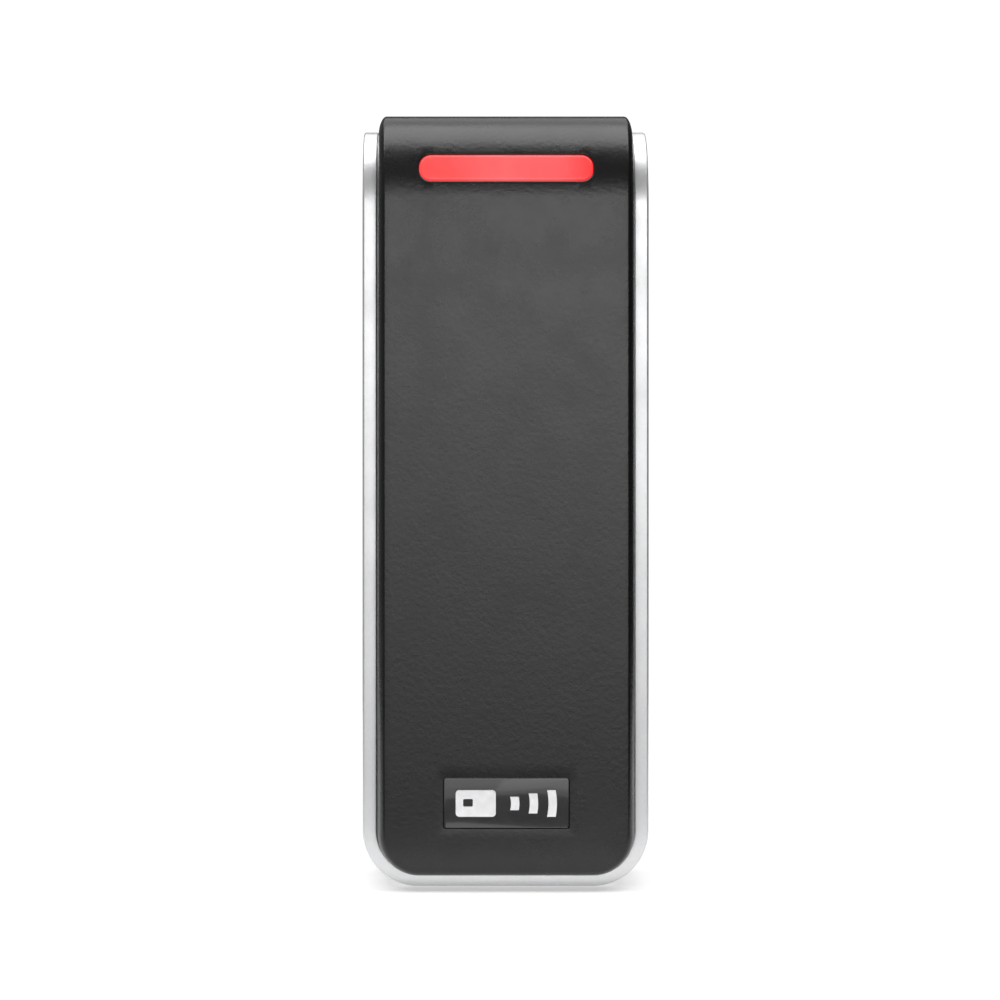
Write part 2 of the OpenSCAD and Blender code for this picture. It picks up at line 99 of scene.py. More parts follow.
# Light bar
BAR_HALF = 13.4 * MM
BAR_HALF_H = 2 * MM
BAR_CORNER = 0.88 * BAR_HALF_H
BAR_Z = 51.5 * MM
BAR_GAP = 0.12 * MM
BAR_ROUND = 0.28 * MM
BAR_WALL_D = 1.6 * MM
LENS_SINK = 0.1 * MM
LENS_ROUND = 0.25 * MM
FLANGE_D = 3.3 * MM
FLANGE_W = 1.2 * MM
FLANGE_H = 0.8 * MM
FLANGE_CORNER = 1.2 * MM

# Badge
BADGE_CORNER = 0.4 * MM
BADGE_GAP = 0.04 * MM
BADGE_ROUND = 0.12 * MM
PLATE_ROUND = 0.1 * MM

# Steps along each kind of curve
CORNER_STEPS = 28
SHOULDER_STEPS = 44
ROLL_STEPS = 12
SIDE_STEPS = 24
WIDTH_STEPS = 16
BAR_STEPS = 14
BADGE_STEPS = 5
EDGE_STEPS = 5
LIP_STEPS = 4

# How many columns and rows of points each sheet is filled with
COVER_COLUMNS = 18
COVER_ROWS = 35
LENS_COLUMNS = 22
LENS_ROWS = 9

# Vertices nearer than this are joined, and shorter edges than this are dissolved
WELD = 0.002 * MM
SLIVER = 0.001 * MM

# Strength of the world: as the camera sees it, and as the surfaces do at their left and right
SEEN_WORLD = 1.05
LEFT_WORLD = 0.30
RIGHT_WORLD = 0.05

# The softboxes overhead: how high and wide they are, and where each is in depth, how deep and how bright
SOFTBOX_Z = 0.95
SOFTBOX_W = 1.5
SOFTBOXES = [("softbox_front", -0.29, 0.66, 4.1), ("softbox_back", 0.40, 0.70, 1.4)]

# The front panel behind the camera, with its bands from the bottom up: where each ends, and how bright it is
PANEL_X = 0.03
PANEL_Y = -1.25
PANEL_W = 0.9
PANEL_BANDS = [(-0.50, None), (-0.245, 0.22), (-0.15, 0.8), (-0.05, 1.0), (0.05, 1.4), (0.15, 2.0),
               (0.25, 2.7), (0.36, 4.2)]

# A fill to the right of the panel's middle, just in front of it
FILL_CENTRE = (0.22, PANEL_Y + 0.02, 0.1)
FILL_W = 0.36
FILL_H = 0.6
FILL_RADIANCE = 0.5


# ---------------------------------------------------------------- camera, light and floor

def make_camera():
    """Facing the reader, level with its middle, and a little to its left."""
    distance = 300 * MM
    sideways = -8 * MM
    sideways_shift = 0.0453
    focal_length_mm = 69.9
    data = bpy.data.cameras.new("camera")
    data.sensor_width = 36
    data.lens = focal_length_mm
    data.shift_x = sideways_shift
    data.clip_start, data.clip_end = 0.01, 20
    camera = bpy.data.objects.new("camera", data)
    camera.location = (sideways, FRONT_Y - distance, 0)
    camera.rotation_euler = (RIGHT_ANGLE, 0, 0)
    bpy.context.scene.collection.objects.link(camera)
    bpy.context.scene.camera = camera


def area_light(name, centre, target, width, height, radiance):
    """A soft panel of one radiance, facing its target."""
    data = bpy.data.lights.new(name, "AREA")
    data.shape = "RECTANGLE"
    data.size, data.size_y = width, height
    data.energy = radiance * width * height * math.pi
    light = bpy.data.objects.new(name, data)
    light.location = centre
    light.rotation_euler = (Vector(target) - Vector(centre)).to_track_quat("-Z", "Y").to_euler()
    bpy.context.scene.collection.objects.link(light)


def make_world():
    """A white room for the camera, and a dim one for what the surfaces reflect, darkest on the right."""
    world = bpy.data.worlds.new("studio")
    bpy.context.scene.world = world
    world.use_nodes = True
    tree = world.node_tree
    tree.nodes.clear()
    out = tree.nodes.new("ShaderNodeOutputWorld")
    mix = tree.nodes.new("ShaderNodeMixShader")
    path = tree.nodes.new("ShaderNodeLightPath")
    seen = tree.nodes.new("ShaderNodeBackground")
    lighting = tree.nodes.new("ShaderNodeBackground")
    seen.inputs["Strength"].default_value = SEEN_WORLD
    seen.inputs["Color"].default_value = (1, 1, 1, 1)
    directions = tree.nodes.new("ShaderNodeTexCoord")
    parts = tree.nodes.new("ShaderNodeSeparateXYZ")
    fall = tree.nodes.new("ShaderNodeMapRange")
    for key, value in (("From Min", -1), ("From Max", 1), ("To Min", LEFT_WORLD), ("To Max", RIGHT_WORLD)):
        fall.inputs[key].default_value = value
    tree.links.new(directions.outputs["Generated"], parts.inputs[0])
    tree.links.new(parts.outputs["X"], fall.inputs["Value"])
    tree.links.new(fall.outputs["Result"], lighting.inputs["Strength"])
    tree.links.new(path.outputs["Is Camera Ray"], mix.inputs[0])
    tree.links.new(lighting.outputs[0], mix.inputs[1])
    tree.links.new(seen.outputs[0], mix.inputs[2])
    tree.links.new(mix.outputs[0], out.inputs["Surface"])


def make_lights():
    """Two overhead softboxes, and a front panel behind the camera that is brighter towards its top."""
    for name, y, depth, radiance in SOFTBOXES:
        area_light(name, (0, y, SOFTBOX_Z), (0, y, 0), SOFTBOX_W, depth, radiance)
    for (low, _), (high, radiance) in zip(PANEL_BANDS, PANEL_BANDS[1:]):
        z = (low + high) / 2
        area_light(f"front_band_{round(1000 * high)}", (PANEL_X, PANEL_Y, z), (PANEL_X, 0, z),
                   PANEL_W, high - low, radiance)
    fill_x, _, fill_z = FILL_CENTRE
    area_light("front_right_fill", FILL_CENTRE, (fill_x, 0, fill_z), FILL_W, FILL_H, FILL_RADIANCE)


def make_floor():
    """A pale table top that ends just in front of the reader, where the frame does."""
    half_w, near, far = 0.2, -0.05, 0.25
    bm = bmesh.new()
    corners = [(-half_w, near), (half_w, near), (half_w, far), (-half_w, far)]
    bm.faces.new([bm.verts.new((x, y, FLOOR_Z)) for x, y in corners])
    mesh = bpy.data.meshes.new("floor")
    bm.to_mesh(mesh)
    floor = bpy.data.objects.new("floor", mesh)
    bpy.context.scene.collection.objects.link(floor)
    floor.data.materials.append(floor_material())


# ---------------------------------------------------------------- material helpers

class Recipe:
    """A material's node tree, built a node at a time."""

    def __init__(self, name):
        self.material = bpy.data.materials.new(name)
        self.material.use_nodes = True
        self.tree = self.material.node_tree
        self.shader = self.tree.nodes["Principled BSDF"]
        self.place = self.node("ShaderNodeTexCoord").outputs["Object"]

    def node(self, kind, **settings):
        made = self.tree.nodes.new(kind)
        for key, value in settings.items():
            setattr(made, key, value)
        return made

    def link(self, source, target):
        self.tree.links.new(source, target)

    def set(self, **values):
        """Constant values, set on the shader's own sockets."""
        for key, value in values.items():
            self.shader.inputs[key.replace("_", " ")].default_value = value
        return self

    def stretched(self, scale):
        """The object's coordinates, stretched by a scale on each axis."""
        mapping = self.node("ShaderNodeMapping")
        mapping.inputs["Scale"].default_value = scale
        self.link(self.place, mapping.inputs["Vector"])
        return mapping.outputs["Vector"]

    def noise(self, size, detail=3.0, roughness=0.5, place=None):
        """Noise whose blobs are about size across, in metres."""
        made = self.node("ShaderNodeTexNoise")
        made.inputs["Scale"].default_value = 1 / size
        made.inputs["Detail"].default_value = detail
        made.inputs["Roughness"].default_value = roughness
        self.link(place or self.place, made.inputs["Vector"])
        return made.outputs["Fac"]

    def cells(self, size):
        """The distance from the nearest of many scattered points, about size apart."""
        made = self.node("ShaderNodeTexVoronoi", feature="F1")
        made.inputs["Scale"].default_value = 1 / size
        self.link(self.place, made.inputs["Vector"])
        return made.outputs["Distance"]

    def ramp(self, source, stops):
        """A colour ramp through (position, colour) stops."""
        made = self.node("ShaderNodeValToRGB")
        elements = made.color_ramp.elements
        while len(elements) < len(stops):
            elements.new(0.5)
        for element, (position, colour) in zip(elements, stops):
            element.position = position
            element.color = (*colour, 1)
        self.link(source, made.inputs["Fac"])
        return made.outputs["Color"]

    def spread(self, source, low, high, source_low=0.3, source_high=0.7):
        """A source's range from source_low to source_high, spread from low to high."""
        made = self.node("ShaderNodeMapRange")
        settings = {"From Min": source_low, "From Max": source_high, "To Min": low, "To Max": high}
        for key, value in settings.items():
            made.inputs[key].default_value = value
        self.link(source, made.inputs["Value"])
        return made.outputs["Result"]

    def add(self, first, second):
        made = self.node("ShaderNodeMath", operation="ADD")
        self.link(first, made.inputs[0])
        self.link(second, made.inputs[1])
        return made.outputs[0]

    def colour(self, source, dark, light, source_low=0.3, source_high=0.7):
        mixed = self.ramp(source, [(source_low, dark), (source_high, light)])
        self.link(mixed, self.shader.inputs["Base Color"])

    def roughness(self, source, low, high, source_low=0.3, source_high=0.7):
        self.link(self.spread(source, low, high, source_low, source_high), self.shader.inputs["Roughness"])

    def bump(self, source, height):
        """Relief of the given height in metres, on top of any relief already there."""
        made = self.node("ShaderNodeBump")
        made.inputs["Strength"].default_value = 1
        made.inputs["Distance"].default_value = height
        self.link(source, made.inputs["Height"])
        before = self.shader.inputs["Normal"].links
        if before:
            self.link(before[0].from_socket, made.inputs["Normal"])
        self.link(made.outputs["Normal"], self.shader.inputs["Normal"])


def shade(level):
    return (level, level, level)


def scaled(colour, factor):
    return tuple(min(1.0, c * factor) for c in colour)


# ---------------------------------------------------------------- materials

def floor_material():
    recipe = Recipe("floor_paper").set(Roughness=0.9, Emission_Color=(1, 1, 1, 1), Emission_Strength=0.45)
    recipe.colour(recipe.noise(0.02), shade(0.62), shade(0.66))
    return recipe.material


def textured_plastic(name, colour, gloss=0.3, grain=0.22 * MM, relief=0.006 * MM):
    """Moulded plastic with a fine spark-eroded texture, and faint handling marks."""
    recipe = Recipe(name).set(IOR=1.5)
    recipe.colour(recipe.noise(3 * MM, 5), scaled(colour, 0.75), scaled(colour, 1.3))
    marks = recipe.noise(9 * MM, 6, 0.65)
    recipe.roughness(marks, gloss - 0.03, gloss + 0.05)
    recipe.bump(recipe.noise(grain, 2), relief)
    recipe.bump(recipe.noise(grain * 3, 3), relief * 4.5)
    return recipe.material


def satin_silver():
    """Satin metallic paint with a faint mottle, under a thin clear coat."""
    recipe = Recipe("satin_silver_paint").set(Metallic=0.6, Coat_Weight=0.1, Coat_Roughness=0.2)
    recipe.colour(recipe.noise(0.8 * MM, 5, 0.7), (0.66, 0.665, 0.675), (0.75, 0.755, 0.76), 0.1, 0.9)
    recipe.roughness(recipe.noise(6 * MM, 5), 0.29, 0.36)
    recipe.bump(recipe.noise(0.6 * MM, 2), 0.002 * MM)
    return recipe.material


def lit_lens():
    """Frosted red lens lit from behind: paler in the middle, deepest at the right end."""
    recipe = Recipe("lit_red_lens").set(Roughness=0.28, IOR=1.49, Emission_Strength=0.93)
    recipe.colour(recipe.noise(1.5 * MM), (0.35, 0.02, 0.02), (0.42, 0.03, 0.03))
    parts = recipe.node("ShaderNodeSeparateXYZ")
    recipe.link(recipe.place, parts.inputs[0])
    reach = lens_high_corner.x
    along = recipe.spread(parts.outputs["X"], 0, 1, -reach, reach)
    cloud = recipe.spread(recipe.noise(7 * MM, 1), -0.06, 0.06)
    glow = recipe.ramp(recipe.add(along, cloud), [
        (0.02, (1.0, 0.066, 0.066)),
        (0.22, (1.0, 0.085, 0.085)),
        (0.5, (1.0, 0.135, 0.14)),
        (0.78, (1.0, 0.105, 0.11)),
        (0.97, (1.0, 0.040, 0.042)),
    ])
    recipe.link(glow, recipe.shader.inputs["Emission Color"])
    recipe.bump(recipe.noise(0.3 * MM, 2), 0.003 * MM)
    return recipe.material


def gloss_badge():
    recipe = Recipe("gloss_badge_plate").set(IOR=1.56, Coat_Weight=1.0, Coat_Roughness=0.05)
    recipe.colour(recipe.noise(2 * MM, 4), shade(0.006), shade(0.012))
    recipe.roughness(recipe.noise(4 * MM, 5), 0.10, 0.16)
    recipe.bump(recipe.noise(2.5 * MM, 2), 0.001 * MM)
    return recipe.material


def foil():
    recipe = Recipe("silver_foil").set(Metallic=1.0)
    recipe.colour(recipe.noise(1.2 * MM, 4), (0.80, 0.80, 0.81), (0.9, 0.9, 0.91))
    recipe.roughness(recipe.noise(0.4 * MM, 4), 0.34, 0.44)
    recipe.bump(recipe.noise(0.12 * MM, 2), 0.002 * MM)
    return recipe.material


def brushed_metal(name, colour, axis_scale=(1, 1, 0.06), gloss=0.3):
    """Plated or drawn metal with fine lines along one axis."""
    recipe = Recipe(name).set(Metallic=1.0)
    lines = recipe.noise(0.08 * MM, 3, place=recipe.stretched(axis_scale))
    recipe.colour(lines, scaled(colour, 0.8), colour)
    recipe.roughness(recipe.noise(1.5 * MM, 4), gloss - 0.06, gloss + 0.08)
    recipe.bump(lines, 0.004 * MM)
    return recipe.material


def resin():
    """Poured black resin with slow ripples and pinholes."""
    recipe = Recipe("black_resin").set(IOR=1.55)
    recipe.colour(recipe.noise(4 * MM, 4), shade(0.008), shade(0.016))
    recipe.roughness(recipe.noise(5 * MM, 5), 0.12, 0.3)
    recipe.bump(recipe.noise(7 * MM, 2), 0.12 * MM)
    recipe.bump(recipe.spread(recipe.cells(2.2 * MM), 0, 1, 0.02, 0.16), 0.05 * MM)
    return recipe.material


def rubber(name, level):
    recipe = Recipe(name)
    recipe.colour(recipe.noise(0.8 * MM, 4), shade(level * 0.8), shade(level * 1.3))
    recipe.roughness(recipe.noise(1 * MM, 4), 0.62, 0.78)
    recipe.bump(recipe.noise(0.2 * MM, 3), 0.006 * MM)
    return recipe.material


def clear_plastic(name, colour, transmission=0.9):
    recipe = Recipe(name).set(IOR=1.49, Transmission_Weight=transmission)
    recipe.colour(recipe.noise(2 * MM, 3), scaled(colour, 0.94), colour)
    recipe.roughness(recipe.noise(2 * MM, 4), 0.05, 0.14)
    recipe.bump(recipe.noise(1.4 * MM, 2), 0.006 * MM)
    return recipe.material


def solder_mask():
    """Green circuit board: tracks and ground fill show as paler relief under the mask."""
    recipe = Recipe("green_solder_mask").set(IOR=1.5, Coat_Weight=0.2, Coat_Roughness=0.15)
    tracks = recipe.node("ShaderNodeTexBrick", offset=0.5, squash=0.6)
    tracks.inputs["Scale"].default_value = 1 / (5 * MM)
    tracks.inputs["Mortar Size"].default_value = 0.03
    for key, level in (("Color1", 0.0), ("Color2", 0.1), ("Mortar", 1.0)):
        tracks.inputs[key].default_value = (*shade(level), 1)
    turned = recipe.node("ShaderNodeMapping")
    turned.inputs["Rotation"].default_value = (RIGHT_ANGLE, 0, 0)
    recipe.link(recipe.place, turned.inputs["Vector"])
    recipe.link(turned.outputs["Vector"], tracks.inputs["Vector"])
    relief = tracks.outputs["Fac"]
    recipe.colour(relief, (0.012, 0.11, 0.035), (0.03, 0.22, 0.08), 0.2, 0.8)
    recipe.roughness(recipe.noise(3 * MM, 4), 0.24, 0.36)
    recipe.bump(relief, 0.02 * MM)
    return recipe.material


def wound_copper():
    """Enamelled wire laid in turns, seen as fine lines round the coil."""
    recipe = Recipe("wound_copper").set(Metallic=1.0, Coat_Weight=0.6, Coat_Roughness=0.12)
    lines = recipe.node("ShaderNodeTexWave", bands_direction="Y")
    lines.inputs["Scale"].default_value = 1 / (1.3 * MM)
    lines.inputs["Distortion"].default_value = 0.6
    recipe.link(recipe.place, lines.inputs["Vector"])
    recipe.colour(lines.outputs["Fac"], (0.28, 0.09, 0.03), (0.72, 0.33, 0.14), 0.1, 0.8)
    recipe.roughness(recipe.noise(1 * MM, 3), 0.22, 0.34)
    recipe.bump(lines.outputs["Fac"], 0.06 * MM)
    return recipe.material


def ceramic(name, colour, gloss=0.55):
    recipe = Recipe(name)
    recipe.colour(recipe.noise(0.5 * MM, 4), scaled(colour, 0.8), scaled(colour, 1.15))
    recipe.roughness(recipe.noise(0.7 * MM, 4), gloss - 0.08, gloss + 0.08)
    recipe.bump(recipe.noise(0.1 * MM, 3), 0.004 * MM)
    return recipe.material


def give(material, *node_names):
    """Puts one material on carried-over CAD nodes."""
    for node_name in node_names:
        mesh = nodes[node_name].data
        mesh.materials.clear()
        mesh.materials.append(material)


# ---------------------------------------------------------------- mesh helpers

def finish_piece(name, bm, body, material, stands_for, sharp=35):
    """Turns a bmesh into a piece that rides on a body and stands for CAD nodes."""
    bmesh.ops.remove_doubles(bm, verts=bm.verts, dist=WELD)
    bmesh.ops.dissolve_degenerate(bm, edges=bm.edges, dist=SLIVER)
    bmesh.ops.recalc_face_normals(bm, faces=bm.faces)
    mesh = bpy.data.meshes.new(name)
    bm.to_mesh(mesh)
    bm.free()
    mesh.polygons.foreach_set("use_smooth", [True] * len(mesh.polygons))
    mesh.set_sharp_from_angle(angle=math.radians(sharp))
    piece = bpy.data.objects.new(name, mesh)
    bpy.context.scene.collection.objects.link(piece)
    mesh.materials.append(material)
    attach(piece, body)
    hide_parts(*stands_for)


def bridge(bm, first, second, closed=True):
    """Faces between two rows of as many vertices."""
    count = len(first)
    for i in range(count if closed else count - 1):
        j = (i + 1) % count
        bm.faces.new([first[i], first[j], second[j], second[i]])


def row(bm, points):
    return [bm.verts.new(p) for p in points]


def bridge_all(bm, rings, closed=True):
    """Faces between each ring of points and the next. Returns the rings' vertices."""
    made = [row(bm, ring) for ring in rings]
    for first, second in zip(made, made[1:]):
        bridge(bm, first, second, closed)
    return made


def quarter(steps):
    return [RIGHT_ANGLE * i / steps for i in range(steps + 1)]


def soft_rectangle(half_x, half_z, radius, centre_z, steps):
    """Points round a rectangle with round corners, anticlockwise as seen from the front."""
    points = []
    for turn, (sx, sz) in enumerate(((1, -1), (1, 1), (-1, 1), (-1, -1))):
        for a in quarter(steps):
            angle = a + (turn - 1) * RIGHT_ANGLE
            points.append((
                sx * (half_x - radius) + radius * math.cos(angle),
                centre_z + sz * (half_z - radius) + radius * math.sin(angle),
            ))
    return points


def between(start, end, count):
    """Evenly spaced numbers between two others, without the ends."""
    return [start + (end - start) * i / count for i in range(1, count)]


def inside(point, outline):
    """True if a point is inside an outline."""
    x, z = point
    hit = False
    for (x0, z0), (x1, z1) in zip(outline, outline[1:] + outline[:1]):
        if (z0 > z) != (z1 > z) and x < (x1 - x0) * (z - z0) / (z1 - z0) + x0:
            hit = not hit
    return hit


def sheet_between(bm, shell, outline, holes, columns, rows, sink=0):
    """Fills an outline, less its holes, with triangles that lie on a shell's front, or sink behind it."""
    tiny = 1e-9

    def flattened(points):
        return [(x, shell.unrolled(z)) for x, z in points]

    edge, gaps = flattened(outline), [flattened(hole) for hole in holes]
    points = list(edge)
    edges = [(i, (i + 1) % len(edge)) for i in range(len(edge))]
    for gap in gaps:
        start = len(points)
        points += gap
        edges += [(start + i, start + (i + 1) % len(gap)) for i in range(len(gap))]
    for point in flattened([(x, z) for x in columns for z in rows]):
        if inside(point, edge) and not any(inside(point, gap) for gap in gaps):
            points.append(point)
    made = geometry.delaunay_2d_cdt([Vector((x / MM, s / MM)) for x, s in points], edges, [], 0, tiny)
    heights = [shell.rolled(p.y * MM) for p in made[0]]
    verts = row(bm, [(p.x * MM, shell.face_at(z) + sink, z) for p, z in zip(made[0], heights)])
    for face in made[2]:
        centre = tuple(sum(made[0][i][axis] for i in face) * MM / len(face) for axis in (0, 1))
        if inside(centre, edge) and not any(inside(centre, gap) for gap in gaps):
            bm.faces.new([verts[i] for i in face])


class BentShell:
    """A flat front that rolls back over the top on an oval, with a rolled edge all round."""

    def __init__(self, half, low, top, corner, face_y, depth_axis, height_axis, roll_w, roll_d):
        self.half, self.low, self.top, self.corner, self.face_y = half, low, top, corner, face_y
        self.depth_axis, self.height_axis = depth_axis, height_axis
        self.roll_w, self.roll_d = roll_w, roll_d
        self.oval_y, self.oval_z = face_y + depth_axis, top - height_axis
        self.arc = RIGHT_ANGLE * math.hypot(depth_axis, height_axis) / math.sqrt(2)

    def face_at(self, z):
        """The front surface's depth at a height."""
        if z <= self.oval_z:
            return self.face_y
        share = min(1.0, (z - self.oval_z) / self.height_axis)
        return self.oval_y - self.depth_axis * math.sqrt(1 - share * share)

    def unrolled(self, z):
        """A height along the front as if its shoulder were straightened."""
        if z <= self.oval_z:
            return z
        share = min(1.0, (z - self.oval_z) / self.height_axis)
        return self.oval_z + self.arc * math.asin(share) / RIGHT_ANGLE

    def rolled(self, s):
        """The height that unrolled() makes s of."""
        if s <= self.oval_z:
            return s
        share = min(1.0, (s - self.oval_z) / self.arc)
        return self.oval_z + self.height_axis * math.sin(share * RIGHT_ANGLE)

    def shoulder_rows(self):
        return [self.oval_z + self.height_axis * math.sin(a) for a in quarter(SHOULDER_STEPS)[1:-1]]

    def edge_path(self, inset, depth):
        """One ring of the rolled edge: from the top right, round the bottom, to the top left."""
        half = self.half - inset
        right = [
            (half, self.oval_y - (self.depth_axis - depth) * math.cos(a),
             self.oval_z + (self.height_axis - depth) * math.sin(a))
            for a in reversed(quarter(SHOULDER_STEPS))
        ]
        corner_z, corner_x = self.low + self.corner, self.half - self.corner
        radius = self.corner - inset
        y = self.face_y + depth
        right += [(half, y, z) for z in between(self.oval_z, corner_z, SIDE_STEPS)]
        right += [
            (corner_x + radius * math.cos(a), y, corner_z - radius * math.sin(a))
            for a in quarter(CORNER_STEPS)
        ]
        bottom = [(x, y, self.low + inset) for x in between(corner_x, -corner_x, WIDTH_STEPS)]
        return right + bottom + [(-x, y, z) for x, y, z in reversed(right)]

    def rings(self):
        return [
            self.edge_path(self.roll_w * (1 - math.sin(a)), self.roll_d * (1 - math.cos(a)))
            for a in quarter(ROLL_STEPS)
        ]

    def top_points(self):
        half = self.half - self.roll_w
        return [(x, self.oval_y, self.top) for x in between(-half, half, WIDTH_STEPS)]

    def add_to(self, bm, holes, back_y, columns, rows):
        """Adds the front with its holes, the rolled edge, and walls back to back_y. Returns the back rim."""
        rings = self.rings()
        outline = [(x, z) for x, y, z in rings[0]] + [(x, z) for x, y, z in self.top_points()]
        sheet_between(bm, self, outline, holes, columns, rows + self.shoulder_rows())
        bridge_all(bm, rings, closed=False)
        rim = list(rings[-1])
        rim += [ring[-1] for ring in reversed(rings[:-1])]
        rim += self.top_points()
        rim += [ring[0] for ring in rings[:-1]]
        back = [(x, back_y, z) for x, y, z in rim]
        bridge(bm, row(bm, rim), row(bm, back))
        return back


# ---------------------------------------------------------------- pieces

cover_shell = BentShell(COVER_HALF, COVER_LOW, TOP_Z, COVER_CORNER, FRONT_Y,
                        SHOULDER_D, SHOULDER_H, ROLL_W, ROLL_D)


def bar_outline(grow):
    return soft_rectangle(BAR_HALF + grow, BAR_HALF_H + grow, BAR_CORNER + grow, BAR_Z, BAR_STEPS)


def badge_outline(grow):
    half_x = badge_high_corner.x
    centre = (badge_low_corner.z + badge_high_corner.z) / 2
    half_z = (badge_high_corner.z - badge_low_corner.z) / 2
    return soft_rectangle(half_x + grow, half_z + grow, BADGE_CORNER + grow, centre, BADGE_STEPS)


def hole_walls(bm, outline_at, gap, radius, depth_y):
    """Rounds the mouth of a hole in the cover and takes its wall back to depth_y. Returns the wall's end.

    outline_at(grow) outlines what fills the hole, wider by grow, and gap is the clearance round it.
    """
    rings = []
    for a in quarter(EDGE_STEPS):
        grow = radius * (1 - math.sin(a))
        sink = radius * (1 - math.cos(a))
        rings.append([(x, cover_shell.face_at(z) + sink, z) for x, z in outline_at(gap + grow)])
    rings.append([(x, depth_y, z) for x, z in outline_at(gap)])
    return bridge_all(bm, rings)[-1]


def make_cover():
    """The black cover: one closed shell with the light bar's slot and the badge's recess."""
    bm = bmesh.new()
    columns = between(-COVER_HALF, COVER_HALF, COVER_COLUMNS)
    rows = between(COVER_LOW, cover_shell.oval_z, COVER_ROWS)
    mouths = [bar_outline(BAR_GAP + BAR_ROUND), badge_outline(BADGE_GAP + BADGE_ROUND)]
    back = cover_shell.add_to(bm, mouths, COVER_BACK, columns, rows)

    inner = BentShell(COVER_HALF - SHELL_T, COVER_LOW + SHELL_T, TOP_Z - SHELL_T, COVER_CORNER - SHELL_T,
                      FRONT_Y + SHELL_T, SHOULDER_D - SHELL_T, SHOULDER_H - SHELL_T,
                      INNER_ROLL_W, INNER_ROLL_D)
    slot = bar_outline(BAR_GAP)
    inner_back = inner.add_to(bm, [slot], COVER_BACK, columns, rows)
    bridge(bm, row(bm, back), row(bm, inner_back))

    slot_end = hole_walls(bm, bar_outline, BAR_GAP, BAR_ROUND, FRONT_Y + BAR_WALL_D)
    bridge(bm, slot_end, row(bm, [(x, inner.face_at(z), z) for x, z in slot]))
    recess_floor = hole_walls(bm, badge_outline, BADGE_GAP, BADGE_ROUND, badge_high_corner.y)
    bm.faces.new(recess_floor)
    material = textured_plastic("black_cover_plastic", shade(0.0045), 0.26)
    finish_piece("cover_shell", bm, "reader", material, ["front_cover"])


def make_trim():
    """The silver trim: one strip down both sides and under the bottom, arced back at the top."""
    half, low, face_y = trim_high_corner.x, trim_low_corner.z, trim_low_corner.y
    back_y = trim_high_corner.y
    shell = BentShell(half, low, TOP_Z - TRIM_DROP, TRIM_CORNER, face_y,
                      SHOULDER_D, SHOULDER_H - TRIM_DROP, TRIM_ROLL, TRIM_ROLL)

    def inner_path(clear, depth):
        """The strip's inner edge, which follows the cover's outline at a distance."""
        corner = COVER_CORNER + clear
        centre_x, centre_z = COVER_HALF - COVER_CORNER, COVER_LOW + COVER_CORNER
        own_x, own_z = shell.half - shell.corner, shell.low + shell.corner
        path = []
        for x, y, z in shell.edge_path(half - COVER_HALF - clear, depth):
            if z <= own_z and abs(x) >= own_x:
                angle = math.atan2(own_z - z, abs(x) - own_x)
                x = math.copysign(centre_x + corner * math.cos(angle), x)
                z = centre_z - corner * math.sin(angle)
            elif z <= own_z:
                z = COVER_LOW - clear
            path.append((x, y, z))
        return path

    rings = [
        inner_path(GROOVE_W + TRIM_LIP * (1 - math.cos(a)), TRIM_LIP * (1 - math.sin(a)))
        for a in quarter(LIP_STEPS)
    ]
    wide, narrow = rings[0], inner_path(TRIM_GAP, TRIM_LIP)
    rings += shell.rings()
    rings.append([(x, back_y, z) for x, y, z in rings[-1]])
    rings.append([(x, back_y, z) for x, y, z in narrow])
    rings += [[(x, max(GROOVE_BACK, y + TRIM_LIP), z) for x, y, z in path] for path in (narrow, wide)]
    bm = bmesh.new()
    made = bridge_all(bm, rings, closed=False)
    bridge(bm, made[-1], made[0], closed=False)
    for end in (0, -1):
        bm.faces.new([ring[end] for ring in made])
    bmesh.ops.recalc_face_normals(bm, faces=bm.faces)
    cut = bmesh.ops.bisect_plane(
        bm, geom=bm.verts[:] + bm.edges[:] + bm.faces[:], dist=1e-7,
        plane_co=(0, back_y, RELIEF_Z), plane_no=(0, math.cos(RELIEF_ANGLE), math.sin(RELIEF_ANGLE)),
        clear_outer=True,
    )
    rim = [e for e in cut["geom_cut"] if isinstance(e, bmesh.types.BMEdge)]
    bmesh.ops.holes_fill(bm, edges=rim, sides=0)
    finish_piece("trim_strip", bm, "reader", satin_silver(), ["side_trim"], sharp=40)


def make_lens():
    """The frosted lens of the light bar, with its face following the cover and its flange behind."""
    bm = bmesh.new()
    columns = between(-BAR_HALF, BAR_HALF, LENS_COLUMNS)
    rows = between(BAR_Z - BAR_HALF_H, BAR_Z + BAR_HALF_H, LENS_ROWS)
    sheet_between(bm, cover_shell, bar_outline(-LENS_ROUND), [], columns, rows, LENS_SINK)
    rings = []
    for a in quarter(EDGE_STEPS):
        sink = LENS_SINK + LENS_ROUND * (1 - math.cos(a))
        outline = bar_outline(-LENS_ROUND * (1 - math.sin(a)))
        rings.append([(x, cover_shell.face_at(z) + sink, z) for x, z in outline])
    flange_y = FRONT_Y + FLANGE_D
    flange = soft_rectangle(BAR_HALF + FLANGE_W, BAR_HALF_H + FLANGE_H, FLANGE_CORNER, BAR_Z, BAR_STEPS)
    rings.append([(x, flange_y, z) for x, z in bar_outline(0)])
    rings.append([(x, flange_y, z) for x, z in flange])
    rings.append([(x, lens_high_corner.y, z) for x, z in flange])
    bm.faces.new(bridge_all(bm, rings)[-1])
    finish_piece("bar_lens", bm, "reader", lit_lens(), ["light_bar_lens"])


